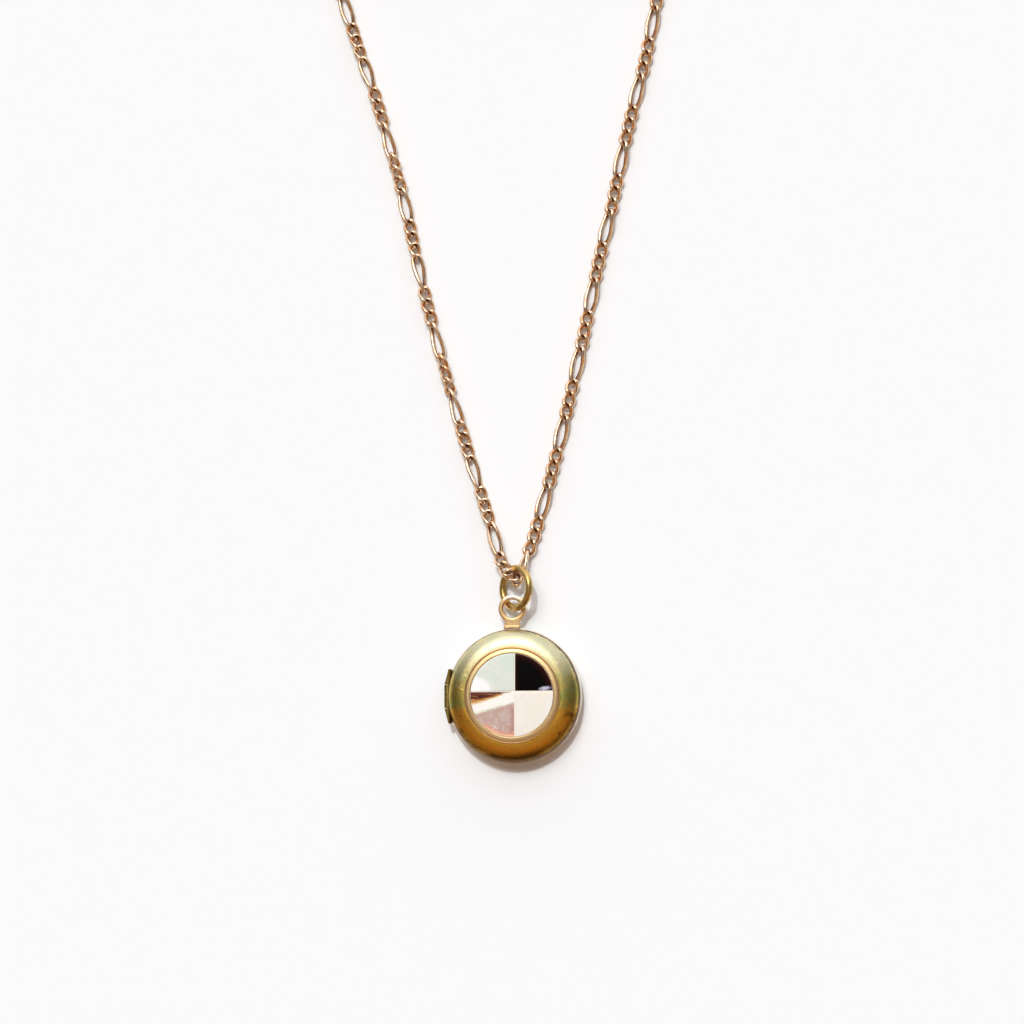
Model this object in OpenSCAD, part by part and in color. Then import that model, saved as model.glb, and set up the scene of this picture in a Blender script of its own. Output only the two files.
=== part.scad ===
// Round hinged locket with a four-piece inlay, a jump ring and a figaro-style neck chain.
// Millimetres. The origin is the centre of the flat back, +Z comes out of the front,
// the hinge is on the -X side, and the eye, jump ring and chain run towards +Y.

/* [Locket] */
// Outer diameter of the rim where the two halves meet
rim_d = 20; // [16:0.5:24]
// Height of the joint between the halves above the flat back
rim_z = 2.5; // [2.2:0.1:3.5]
// Thickness of the stamped sheet of both shells
sheet_t = 0.45; // [0.3:0.05:0.5]
// Thickness of the flange that the two halves close on
flange_t = 0.4; // [0.3:0.05:0.6]
// Width of the rim wall, from the shell's inside to the rim's edge
rim_wall = 0.6; // [0.5:0.05:0.8]
// How far the cover's edge is set in from the rim's edge
cover_inset = 0.15; // [0:0.05:0.3]
// Gap between the closed cover and the rim
parting_gap = 0.05; // [0.02:0.01:0.1]
// Height of the straight edge of the cover
cover_edge_h = 0.3; // [0.2:0.05:0.5]
// Height of the cover's dome above its straight edge
dome_h = 1.9; // [1.6:0.1:2.6]
// Width of the back's domed shoulder
back_shoulder_w = 3.2; // [2.4:0.1:4]
// Height of the snap lip above the flange
lip_h = 0.5; // [0.3:0.05:0.7]
// Thickness of the snap lip
lip_t = 0.33; // [0.25:0.01:0.45]
// Gap between the snap lip and the cover
lip_gap = 0.07; // [0.05:0.01:0.12]
// Width of the thumbnail notch in the cover's edge
notch_w = 0.9; // [0.6:0.1:1.4]
// Depth of the thumbnail notch
notch_depth = 0.4; // [0.2:0.05:0.45]

/* [Hinge] */
// Length of the whole hinge
hinge_len = 8; // [6:0.2:9]
// Length of the middle knuckle
centre_knuckle_len = 3.4; // [2.4:0.2:4]
// Outer diameter of the knuckles
knuckle_d = 1.3; // [1.1:0.05:1.4]
// Diameter of the hinge pin
pin_d = 0.4; // [0.3:0.05:0.45]
// Length of the hinge pin
pin_len = 6; // [4.6:0.2:6]
// Radial gap between the pin and the middle knuckle's bore
pin_gap = 0.03; // [0.02:0.01:0.05]
// Gap between neighbouring knuckles, along the pin
knuckle_gap = 0.1; // [0.05:0.05:0.2]
// Radial gap between a knuckle and the half that turns past it
knuckle_clearance = 0.08; // [0.06:0.01:0.12]
// Distance from the rim's edge in to the hinge axis
hinge_inset = 0.15; // [0.15:0.05:0.25]
// How far the knuckles stand out past the rim's edge
knuckle_proud = 0.5; // [0.4:0.05:0.6]

/* [Stone setting] */
// Diameter of the inlay
inlay_d = 12.24; // [10:0.1:14]
// Gap between the inlay and its setting
inlay_gap = 0.03; // [0.02:0.01:0.06]
// Width of the setting's wall
bezel_w = 0.95; // [0.7:0.05:1.2]
// Height of the setting above the cover
bezel_h = 0.55; // [0.45:0.05:0.8]
// Thickness of the bed under the inlay
bed_t = 0.2; // [0.1:0.05:0.3]
// Thickness of the inlay at its edge
inlay_t = 0.3; // [0.2:0.05:0.5]
// How much higher the inlay is in the middle
inlay_crown = 0.15; // [0.05:0.05:0.4]
// Width of the cement seams between the inlay's pieces
seam_w = 0.14; // [0.08:0.02:0.3]
// Width of the cement left showing round the inlay's edge
seam_edge_w = 0.1; // [0.05:0.01:0.2]
// Sideways place of the seams' crossing
seam_x = 0.45; // [-1:0.05:1]
// Place of the seams' crossing towards the eye
seam_y = 0.55; // [-1:0.05:1]

/* [Photo frames] */
// Width of a photo frame's ring
frame_w = 1.2; // [0.8:0.1:1.8]
// Thickness of a photo frame
frame_t = 0.3; // [0.2:0.05:0.4]
// Gap between a photo frame and the wall around it
frame_gap = 0.03; // [0.02:0.01:0.06]

/* [Eye and jump ring] */
// Outer diameter of the eye
eye_d = 4.1; // [3.8:0.1:4.6]
// Diameter of the eye's hole
eye_hole_d = 2.7; // [2.6:0.05:2.9]
// Thickness of the eye's plate
eye_t = 0.5; // [0.4:0.05:0.55]
// Distance from the rim's edge to the middle of the eye
eye_reach = 2.86; // [2.6:0.05:3.2]
// Sideways place of the eye
eye_x = -0.35; // [-0.6:0.05:0.6]
// Width of the eye's neck
neck_w = 2.2; // [1.8:0.1:2.6]
// Wire diameter of the jump ring
ring_wire_d = 1; // [0.8:0.05:1]
// Diameter of the jump ring at the middle of its wire
ring_mid_d = 5.8; // [5.6:0.05:6]
// Distance from the outer edge of the eye's hole in to the middle of the jump ring's wire
ring_seat = 1.24; // [1.2:0.01:1.28]
// Height of the middle of the jump ring above the eye's plate
ring_rise = 0.4; // [0.35:0.01:0.45]
// Sideways place of the middle of the jump ring from the eye
ring_side = 0.6; // [0.5:0.05:0.7]
// Tilt of the jump ring as it lies
ring_tilt = 40; // [39:1:44]
// Width of the saw cut in the jump ring
ring_cut = 0.05; // [0.02:0.01:0.1]

/* [Chain and clasp] */
// Width of the chain
chain_d = 1.8; // [1.6:0.05:1.8]
// Outer diameter of each stored coil of chain
coil_d = 25; // [24:0.5:28]
// Inner diameter of each stored coil of chain
coil_hole_d = 12.6; // [12.4:0.1:13]
// Diameter of the clasp at the middle of its tube
clasp_mid_d = 4.2; // [4:0.1:4.4]
// Outer diameter of the clasp's tube
clasp_tube_d = 1.2; // [1:0.05:1.2]
// Wall thickness of the clasp's tube
clasp_wall = 0.2; // [0.15:0.01:0.22]
// Gap between the clasp's tongue and its tube
tongue_gap = 0.04; // [0.02:0.01:0.06]
// Opening of the clasp, in degrees round the ring
clasp_opening = 44; // [36:1:50]
// Travel of the clasp's tongue, in degrees round the ring
tongue_travel = 40; // [30:1:42]
// Wire diameter of the small rings on the chain's ends
end_wire_d = 0.5; // [0.4:0.05:0.55]

/* [Hidden] */
$fn = 96;

brass = "#a8965a";
bright_brass = "#d9bb7c";
chain_gold = "#cf9a62";

eps = 0.01;
far = 40;
seam_drop = 0.02;

// Radii and heights that the pieces share
rim_r = rim_d / 2;
wall_r = rim_r - rim_wall;
cover_r = rim_r - cover_inset;
flange_z = rim_z - parting_gap;
cup_z = flange_z - flange_t;
lip_r = wall_r - lip_gap;
lip_inner_r = lip_r - lip_t;
bezel_inner_r = inlay_d / 2 + inlay_gap;
bezel_r = bezel_inner_r + bezel_w;
dome_w = cover_r - bezel_r - eps;
dome_z = rim_z + cover_edge_h;
seat_z = dome_z + dome_h;
bed_z = seat_z + bed_t;
lip_z = flange_z + lip_h;
back_frame_r = lip_inner_r - frame_gap;
ledge_z = flange_z - 0.1;
front_frame_z = lip_z + parting_gap;

// Hinge axis and the radii round it
hinge_x = -(rim_r - hinge_inset);
hinge_z = rim_z - parting_gap / 2;
knuckle_r = knuckle_d / 2;
knuckle_edge_r = rim_r + knuckle_proud;
outer_knuckle_len = (hinge_len - centre_knuckle_len) / 2 - knuckle_gap;

// Eye and jump ring
eye_z = flange_z - eye_t;
eye_y = rim_r + eye_reach;
ring_r = ring_mid_d / 2;
ring_reach = eye_hole_d / 2 + ring_r - ring_seat;
ring_at = [eye_x + ring_side, eye_y + ring_reach, eye_z + eye_t / 2 + ring_rise];
shoulder_h = 0.75;
shoulder_t = 0.35;

// Clasp, in its own frame: its ring lies flat round the origin, its eye towards +X
clasp_r = clasp_mid_d / 2;
clasp_tube_r = clasp_tube_d / 2;
clasp_bore_r = clasp_tube_r - clasp_wall;
tongue_r = clasp_bore_r - tongue_gap;
opening_from = 58;
opening_to = opening_from + clasp_opening;
tongue_overlap = 5;
tongue_len = clasp_opening + 2 * tongue_overlap + 38;
tongue_tail = opening_from - tongue_overlap + tongue_len;
lever_at = tongue_tail - 8;
lever_half = 5;
lever_w = 0.4;
slot_clearance = 3;
spring_from = tongue_tail + tongue_travel + 2;
spring_to = 300;
clasp_eye_r = 0.75;
end_wire_r = end_wire_d / 2;
clasp_eye_x = clasp_r + clasp_tube_r + clasp_eye_r + end_wire_r - 0.1;
clasp_eye_z = clasp_eye_r + end_wire_r;
connector_r = 1.05;
connector_x = clasp_eye_x + 1.1;
connector_z = 0.6;
connector_tilt = 16;
clasp_shift = -0.35;
clasp_turn = 150;
end_ring_r = 1.6;

// The stored coils, past the end of each side of the chain
coil_left_at = [-18.45, 120];
coil_right_at = [12.8, 120];

// The chain's route from the bottom of its V, inside the jump ring, out to each coil
chain_left_route = [
    [0.05, 17.2, 2.4], [-0.75, 17.4, 2.75], [-1.5, 18.1, 3.1], [-1.95, 19.1, 2.85],
    [-2.3, 20.5, 2], [-2.85, 22.4, 1.2], [-3.95, 26, 0.9], [-4.9, 29, 0.9], [-6.15, 33, 0.9],
    [-7.4, 37, 0.9], [-8.7, 41.5, 0.9], [-10, 46, 0.9], [-11.25, 50.5, 0.9], [-12.45, 55, 0.9],
    [-13.6, 59.5, 0.9], [-14.65, 64, 0.9], [-15.65, 68.5, 0.9], [-16.6, 73, 0.9],
    [-17.75, 77.5, 0.9], [-19, 82, 0.9], [-20.25, 86.5, 0.9], [-21.6, 91, 0.9],
    [-23.2, 95.5, 0.9], [-24.7, 100, 0.9], [-26.15, 104.5, 0.9], [-27.45, 109, 0.9],
    [-28.55, 113, 0.9], [-29.65, 117, 0.9]
];
chain_right_route = [
    [0.05, 17.2, 2.4], [0.85, 17.4, 2], [1.5, 18, 1.5], [1.85, 19, 1.15], [2.05, 20.5, 0.95],
    [2.4, 22.6, 0.9], [3.35, 26, 0.9], [4.2, 29, 0.9], [5.3, 33, 0.9], [6.35, 37, 0.9],
    [7.4, 41.5, 0.9], [8.45, 46, 0.9], [9.5, 50.5, 0.9], [10.45, 55, 0.9], [11.35, 59.5, 0.9],
    [12.3, 64, 0.9], [13.35, 68.5, 0.9], [14.45, 73, 0.9], [15.35, 77.5, 0.9], [16.3, 82, 0.9],
    [17.35, 86.5, 0.9], [18.5, 91, 0.9], [19.65, 95.5, 0.9], [20.5, 100, 0.9], [21.4, 104.5, 0.9],
    [22.4, 109, 0.9], [23.3, 113.5, 0.9], [24.15, 117.6, 0.9]
];
chain_sides = 8;

// Points of a quarter ellipse from its wide end up to its top, round (x, z)
function quarter(x, z, a, b, steps = 24) =
    [for (i = [0:steps]) [x + a * cos(90 * i / steps), z + b * sin(90 * i / steps)]];

// Radius of the cover's inside at a height, on its straight edge or its dome
function cover_inside_r(z) =
    let (rise = max(0, z - dome_z) / (dome_h - sheet_t))
    cover_r - dome_w + (dome_w - cover_r + wall_r) * sqrt(1 - rise * rise);

function reversed(list) = [for (i = [len(list) - 1:-1:0]) list[i]];

// Direction of a route at one of its points
function heading(route, i) =
    let (a = route[max(i - 1, 0)], b = route[min(i + 1, len(route) - 1)])
    (b - a) / norm(b - a);

// One ring of a swept tube. The first ring is square to X, so that two tubes can share it.
function tube_ring(route, i, r, sides) =
    let (t = i == 0 ? [sign(route[1][0] - route[0][0]), 0, 0] : heading(route, i),
         side = cross(t, [0, 0, 1]) / norm(cross(t, [0, 0, 1])),
         up = cross(side, t))
    [for (k = [0:sides - 1])
        let (angle = 360 * (k + 0.5) / sides)
        route[i] + r * (cos(angle) * side + sin(angle) * up)];

module swept_tube(route, r, sides) {
    rings = len(route);
    points = [for (i = [0:rings - 1]) each tube_ring(route, i, r, sides)];
    walls = [for (i = [0:rings - 2]) for (k = [0:sides - 1])
        let (next = (k + 1) % sides)
        [i * sides + k, i * sides + next, (i + 1) * sides + next, (i + 1) * sides + k]];
    start_cap = [for (k = [sides - 1:-1:0]) k];
    end_cap = [for (k = [0:sides - 1]) (rings - 1) * sides + k];
    polyhedron(points, concat([start_cap, end_cap], walls));
}

module torus(mid_r, wire_r, angle = 360) {
    rotate_extrude(angle = angle) translate([mid_r, 0]) circle(r = wire_r, $fn = 48);
}

// Cylinder round the hinge axis
module hinge_round(r, len) {
    translate([hinge_x, 0, hinge_z]) rotate([90, 0, 0])
        cylinder(r = r, h = len, center = true);
}

// Space for the knuckles in one half: tight round its own, free round the other half's
module knuckle_cuts(own_centre) {
    tight = knuckle_r + eps;
    free = knuckle_r + knuckle_clearance;
    hinge_round(own_centre ? tight : free, centre_knuckle_len + 2 * (own_centre ? 0 : knuckle_gap));
    end_len = outer_knuckle_len + knuckle_gap + eps;
    for (side = [-1, 1])
        translate([0, side * (centre_knuckle_len / 2 + end_len / 2), 0])
            hinge_round(own_centre ? free : tight, end_len + 2 * eps);
}

// A knuckle is a round bar, bored for the pin, whose outer side is filed to the locket's outline
module knuckle(len, bore_r, bore_len, middle_y = 0) {
    intersection() {
        difference() {
            translate([0, middle_y, 0]) hinge_round(knuckle_r, len);
            hinge_round(bore_r, bore_len);
        }
        cylinder(r = knuckle_edge_r, h = far, center = true, $fn = 180);
    }
}

module outer_knuckle(side) {
    knuckle(outer_knuckle_len, pin_d / 2, pin_len, side * (hinge_len - outer_knuckle_len) / 2);
}

module back_shell() {
    color(brass) difference() {
        rotate_extrude() polygon(concat(
            [[0, 0]],
            [for (p = reversed(quarter(wall_r - back_shoulder_w, 0, back_shoulder_w, cup_z)))
                [p[0], cup_z - p[1]]],
            [[wall_r - sheet_t, cup_z]],
            [for (p = quarter(wall_r - back_shoulder_w, 0, back_shoulder_w - sheet_t,
                              cup_z - sheet_t)) [p[0], cup_z - p[1]]],
            [[0, sheet_t]]
        ));
        knuckle_cuts(false);
    }
}

module back_rim() {
    color(bright_brass) difference() {
        rotate_extrude() polygon(concat(
            [[wall_r - sheet_t, cup_z], [rim_r - 0.12, cup_z], [rim_r, cup_z + 0.12],
             [rim_r, flange_z - 0.12], [rim_r - 0.12, flange_z], [lip_r, flange_z],
             [lip_r, lip_z - 0.08], [lip_r - 0.08, lip_z],
             [lip_inner_r, lip_z], [lip_inner_r, ledge_z],
             [wall_r - sheet_t, ledge_z]]
        ));
        knuckle_cuts(false);
    }
}

module eye_tab() {
    color(bright_brass) difference() {
        union() {
            translate([0, 0, eye_z]) linear_extrude(eye_t) difference() {
                union() {
                    translate([eye_x, eye_y]) circle(d = eye_d);
                    translate([eye_x - neck_w / 2, rim_r - 1]) square([neck_w, eye_reach - 0.2]);
                }
                translate([eye_x, eye_y]) circle(d = eye_hole_d);
            }
            translate([eye_x - neck_w / 2 - 0.1, rim_r - 0.5, eye_z])
                cube([neck_w + 0.2, 0.5 + shoulder_t, shoulder_h]);
        }
        translate([0, 0, -1]) cylinder(r = rim_r + eps, h = far, $fn = 180);
    }
}

module hinge_knuckle_upper() { color(bright_brass) outer_knuckle(1); }

module hinge_knuckle_lower() { color(bright_brass) outer_knuckle(-1); }

module hinge_knuckle_center() {
    color(bright_brass)
        knuckle(centre_knuckle_len, pin_d / 2 + pin_gap, centre_knuckle_len + 2);
}

module hinge_pin() { color("#8a7038") hinge_round(pin_d / 2, pin_len); }

module back_photo_frame() {
    skirt_r = wall_r - sheet_t - frame_gap;
    color(bright_brass) translate([0, 0, ledge_z]) rotate_extrude() polygon([
        [back_frame_r - frame_w, 0], [skirt_r - 0.3, 0], [skirt_r - 0.3, -0.35], [skirt_r, -0.35],
        [skirt_r, 0], [back_frame_r, 0], [back_frame_r, frame_t], [back_frame_r - frame_w, frame_t]
    ]);
}

module front_shell() {
    color(brass) difference() {
        rotate_extrude() polygon(concat(
            [[wall_r, rim_z], [cover_r, rim_z]],
            quarter(cover_r - dome_w, dome_z, dome_w, dome_h),
            [[0, seat_z], [0, seat_z - sheet_t]],
            reversed(quarter(cover_r - dome_w, dome_z, dome_w - cover_r + wall_r,
                             dome_h - sheet_t))
        ));
        knuckle_cuts(true);
        rotate([0, 0, -9]) translate([cover_r - notch_depth, -notch_w / 2, rim_z - 1])
            cube([2, notch_w, 1 + cover_edge_h]);
    }
}

module stone_bezel() {
    bead_r = 0.17;
    color(bright_brass) translate([0, 0, seat_z]) rotate_extrude() union() {
        polygon([
            [bezel_inner_r, 0], [bezel_r, 0], [bezel_r, bezel_h * 0.4],
            [bezel_r - 2 * bead_r - 0.1, bezel_h * 0.4], [bezel_r - 0.55, bezel_h],
            [bezel_inner_r + 0.1, bezel_h], [bezel_inner_r, bezel_h - 0.1]
        ]);
        translate([bezel_r - bead_r, bezel_h * 0.4]) circle(r = bead_r, $fn = 32);
    }
}

// Cement: a disc whose raised cross and edge show between the four pieces
module inlay_bed() {
    color("#efe6d2") difference() {
        translate([0, 0, seat_z])
            rotate_extrude() polygon(inlay_profile(inlay_d / 2, bed_t + inlay_t - seam_drop));
        for (quadrant = [0:3]) inlay_pocket(quadrant);
    }
}

// Section of a disc of the inlay: flat below, slightly crowned above
function inlay_profile(r, edge_h) = [[0, 0], [r, 0], [r, edge_h], [0, edge_h + inlay_crown]];

// Space for one of the four pieces: 0 is at +X +Y, counted towards -X
module inlay_pocket(quadrant) {
    sx = quadrant == 0 || quadrant == 3 ? 1 : -1;
    sy = quadrant < 2 ? 1 : -1;
    intersection() {
        translate([0, 0, bed_z]) cylinder(r = inlay_d / 2 - seam_edge_w, h = 5);
        translate([seam_x + (sx > 0 ? 0 : -far) + sx * seam_w / 2,
                   seam_y + (sy > 0 ? 0 : -far) + sy * seam_w / 2, bed_z])
            cube([far, far, 5]);
    }
}

module inlay_quarter(quadrant) {
    intersection() {
        translate([0, 0, bed_z]) rotate_extrude() polygon(inlay_profile(inlay_d / 2, inlay_t));
        inlay_pocket(quadrant);
    }
}

module inlay_onyx_top_right() { color("#17120f") inlay_quarter(0); }

module inlay_pearl_top_left() { color("#e3e8dc") inlay_quarter(1); }

module inlay_shell_bottom_left() { color("#c9a890") inlay_quarter(2); }

module inlay_cream_bottom_right() { color("#f6efe2") inlay_quarter(3); }

module front_photo_frame() {
    low_r = cover_inside_r(front_frame_z) - frame_gap;
    high_r = cover_inside_r(front_frame_z + frame_t) - frame_gap;
    color(bright_brass) translate([0, 0, front_frame_z]) rotate_extrude() polygon([
        [high_r - frame_w, 0], [min(low_r, wall_r - 2 * frame_gap), 0], [high_r, frame_t],
        [high_r - frame_w, frame_t]
    ]);
}

module jump_ring() {
    cut_angle = ring_cut / ring_r * 180 / PI;
    color(brass) translate(ring_at) rotate([0, -ring_tilt, 0]) rotate([0, 0, -20])
        torus(ring_r, ring_wire_d / 2, 360 - cut_angle);
}

module chain_left() { color(chain_gold) swept_tube(chain_left_route, chain_d / 2, chain_sides); }

module chain_right() { color(chain_gold) swept_tube(chain_right_route, chain_d / 2, chain_sides); }

// Outer shape of a stored coil: a flat ring with round edges, one chain thick
module coil(at) {
    r = chain_d / 2;
    translate([at[0], at[1], r]) rotate_extrude() {
        translate([coil_d / 2 - r, 0]) circle(r = r, $fn = 32);
        translate([coil_hole_d / 2 + r, 0]) circle(r = r, $fn = 32);
        translate([coil_hole_d / 2 + r, -r]) square([(coil_d - coil_hole_d) / 2 - 2 * r, 2 * r]);
    }
}

module chain_left_coil() { color(chain_gold) coil(coil_left_at); }

module chain_right_coil() { color(chain_gold) coil(coil_right_at); }

// Places the clasp's own frame inside the left coil
module in_left_coil() {
    translate([coil_left_at[0], coil_left_at[1], 0]) rotate([0, 0, clasp_turn])
        translate([clasp_shift, 0, 0]) children();
}

// Part of a ring between two angles, from a section drawn at its radius
module arc(from, to) {
    rotate([0, 0, from]) rotate_extrude(angle = to - from) children();
}

module clasp_body() {
    color(chain_gold) in_left_coil() translate([0, 0, clasp_tube_r]) difference() {
        arc(opening_to, opening_from + 360) translate([clasp_r, 0]) difference() {
            circle(r = clasp_tube_r, $fn = 48);
            circle(r = clasp_bore_r, $fn = 48);
        }
        arc(lever_at - lever_half - slot_clearance,
            lever_at + lever_half + slot_clearance + tongue_travel)
            translate([clasp_r, -lever_w / 2 - tongue_gap])
                square([2, lever_w + 2 * tongue_gap]);
    }
}

module clasp_tongue() {
    color(chain_gold) in_left_coil() translate([0, 0, clasp_tube_r]) {
        arc(opening_from - tongue_overlap, tongue_tail)
            translate([clasp_r, 0]) circle(r = tongue_r, $fn = 48);
        arc(lever_at - lever_half, lever_at + lever_half)
            translate([clasp_r, -lever_w / 2]) square([clasp_tube_r + 0.55, lever_w]);
    }
}

module clasp_spring() {
    color("#9a9a98") in_left_coil() translate([0, 0, clasp_tube_r])
        arc(spring_from, spring_to) translate([clasp_r, 0]) difference() {
            circle(r = tongue_r - 0.02, $fn = 32);
            circle(r = tongue_r - 0.16, $fn = 32);
        }
}

module clasp_eye() {
    color(chain_gold) in_left_coil() difference() {
        translate([clasp_eye_x, 0, clasp_eye_z]) rotate([90, 0, 0])
            torus(clasp_eye_r, end_wire_r);
        translate([0, 0, clasp_tube_r]) torus(clasp_r, clasp_tube_r);
    }
}

module clasp_connector_ring() {
    color(chain_gold) in_left_coil() translate([connector_x, 0, connector_z])
        rotate([0, connector_tilt, 0]) torus(connector_r, end_wire_r);
}

module end_ring() {
    color(chain_gold) translate([coil_right_at[0] + 3.94, coil_right_at[1], end_wire_r])
        torus(end_ring_r, end_wire_r);
}

back_shell();
back_rim();
eye_tab();
hinge_knuckle_upper();
hinge_knuckle_lower();
hinge_pin();
back_photo_frame();
front_shell();
hinge_knuckle_center();
stone_bezel();
inlay_bed();
inlay_pearl_top_left();
inlay_onyx_top_right();
inlay_shell_bottom_left();
inlay_cream_bottom_right();
front_photo_frame();
jump_ring();
chain_left();
chain_right();
chain_left_coil();
chain_right_coil();
clasp_body();
clasp_tongue();
clasp_spring();
clasp_eye();
clasp_connector_ring();
end_ring();
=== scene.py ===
# %% [markdown]
# # A round brass locket on a figaro chain
# The locket is two stamped brass shells on a small hinge, with a four-piece inlay in a round
# setting. A plate with an eye is soldered to its top, a jump ring passes through the eye, and the
# neck chain passes through the jump ring. The measured model of it is loaded first, and every
# piece below is made round that frame, in metres: the origin is the middle of the flat back, +Z
# comes out of the front and the chain runs towards +Y.

# %% Load the measured frame
import math

import bpy
import numpy as np
from mathutils import Matrix, Vector


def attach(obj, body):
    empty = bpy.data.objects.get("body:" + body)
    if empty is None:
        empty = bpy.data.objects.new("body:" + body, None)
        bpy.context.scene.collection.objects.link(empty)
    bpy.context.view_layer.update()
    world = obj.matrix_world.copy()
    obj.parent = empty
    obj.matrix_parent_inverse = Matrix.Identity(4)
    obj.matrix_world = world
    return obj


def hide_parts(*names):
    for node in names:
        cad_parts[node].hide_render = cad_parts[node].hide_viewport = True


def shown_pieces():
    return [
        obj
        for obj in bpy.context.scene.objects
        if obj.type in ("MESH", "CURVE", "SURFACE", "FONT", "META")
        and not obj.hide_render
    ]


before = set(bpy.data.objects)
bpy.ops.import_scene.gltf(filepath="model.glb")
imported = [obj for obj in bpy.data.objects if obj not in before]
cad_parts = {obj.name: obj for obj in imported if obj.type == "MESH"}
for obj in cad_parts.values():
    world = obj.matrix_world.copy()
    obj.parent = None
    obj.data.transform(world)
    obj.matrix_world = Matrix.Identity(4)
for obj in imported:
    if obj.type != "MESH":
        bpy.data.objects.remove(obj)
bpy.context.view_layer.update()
MM = 0.001
TURN = 2 * math.pi

# %% [markdown]
# ## Camera
# A small thing is drawn best through a long lens from well away, so that the near side looks no
# bigger than the far side. The locket lies on its back and is seen from almost straight above,
# with the camera a little to the right. A camera that looks down has no natural upright, so its
# three axes are worked out here, with +Y as the top of the picture.

# %% Camera
CAMERA_AT = Vector((90, -30, 600)) * MM
LOOKED_AT = Vector((-0.36, 27.14, 2.4)) * MM
camera_data = bpy.data.cameras.new("camera")
camera_data.lens, camera_data.sensor_width = 144.75, 36
camera_data.clip_start, camera_data.clip_end = 0.01, 10
camera = bpy.data.objects.new("camera", camera_data)
bpy.context.collection.objects.link(camera)
looking = (LOOKED_AT - CAMERA_AT).normalized()
rightwards = looking.cross(Vector((0, 1, 0))).normalized()
upwards = rightwards.cross(looking)
axes = Matrix((rightwards, upwards, -looking)).transposed()
camera.matrix_world = Matrix.Translation(CAMERA_AT) @ axes.to_4x4()
bpy.context.scene.camera = camera
print("camera", round((LOOKED_AT - CAMERA_AT).length / MM), "mm from the locket")

# %% [markdown]
# ## A mesh from a grid
# Nearly every surface here is a sheet of points in rows and columns. Working the points out as
# whole arrays is quick, and the faces of any such sheet follow one rule: each point joins the
# next one in its row and the same two in the next row. A row that closes on itself is joined end
# to end, and a shape that comes to a point is closed with a fan of triangles.

# %% Grids of points into meshes
def grid_faces(rows, columns, wrap_rows, wrap_columns):
    """Corner numbers of the four-sided faces of a rows by columns grid of points."""
    i, j = np.meshgrid(np.arange(rows if wrap_rows else rows - 1),
                       np.arange(columns if wrap_columns else columns - 1), indexing="ij")
    i, j, k, l = i.ravel(), j.ravel(), (i.ravel() + 1) % rows, (j.ravel() + 1) % columns
    return np.stack([i * columns + j, k * columns + j, k * columns + l, i * columns + l], 1)


def piece(name, parts, body, nodes=(), sharp=None):
    """A mesh object made of (points, faces) parts. It rides on a body and stands for CAD nodes.
    Edges that turn by more than the angle sharp, in degrees, are left sharp."""
    first = np.cumsum([0] + [len(points) for points, _ in parts])
    points = np.concatenate([points for points, _ in parts])
    corners = np.concatenate([(faces + start).ravel()
                              for (_, lists), start in zip(parts, first) for faces in lists])
    sizes = np.concatenate([np.full(len(faces), faces.shape[1])
                            for _, lists in parts for faces in lists])
    mesh = bpy.data.meshes.new(name)
    mesh.vertices.add(len(points))
    mesh.vertices.foreach_set("co", points.astype(np.float32).ravel())
    mesh.loops.add(len(corners))
    mesh.loops.foreach_set("vertex_index", corners.astype(np.int32))
    mesh.polygons.add(len(sizes))
    mesh.polygons.foreach_set("loop_start",
                              np.concatenate([[0], np.cumsum(sizes)[:-1]]).astype(np.int32))
    mesh.polygons.foreach_set("use_smooth", np.ones(len(sizes), bool))
    mesh.update(calc_edges=True)
    mesh.validate()
    if sharp is not None:
        mesh.set_sharp_from_angle(angle=math.radians(sharp))
    made = bpy.data.objects.new(name, mesh)
    bpy.context.collection.objects.link(made)
    if body:
        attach(made, body)
    if nodes:
        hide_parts(*nodes)
    print(f"{name}: {len(sizes)} faces")
    return made


def stacked(loops, wrap=False):
    """One part from an array of loops (rows, columns, 3), each closed on itself. With wrap the
    last loop joins the first. Without it each end is closed by a fan round its middle point."""
    rows, columns = loops.shape[:2]
    points, quads = loops.reshape(-1, 3), grid_faces(rows, columns, wrap, True)
    if wrap:
        return points, [quads]
    j = np.arange(columns)
    k, total = (j + 1) % columns, rows * columns
    start = np.stack([np.full(columns, total), j, k], 1)
    last = (rows - 1) * columns
    end = np.stack([np.full(columns, total + 1), last + k, last + j], 1)
    middles = np.stack([loops[0].mean(0), loops[-1].mean(0)])
    return np.concatenate([points, middles]), [quads, start, end]


# %% [markdown]
# ## The chain
# Figaro chain is a curb chain with a repeating pattern: three short round links, then one long
# one. Each link is wire bent to an oval, soldered, and then twisted a quarter turn along its
# length so that the whole chain lies flat. A cord through the links' middles says where the
# chain lies. It hangs in a V from inside the jump ring, runs up both sides, and each end is put
# away in a flat coil like the chain that is kept in a jeweller's tray. The links stay stiff and
# straight: each is set on the chord between its two ends.

# %% Where the chain runs
CHAIN_D = 1.8
COIL_R, COIL_PITCH = 11.6, 1.95
TABLE_Y = [26, 29, 33, *np.arange(37, 110, 4.5)]


def on_table(x, y):
    """Places of a chain that lies on the table, half its thickness up."""
    return np.column_stack([x, y, np.full(len(x), CHAIN_D / 2)])


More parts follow.
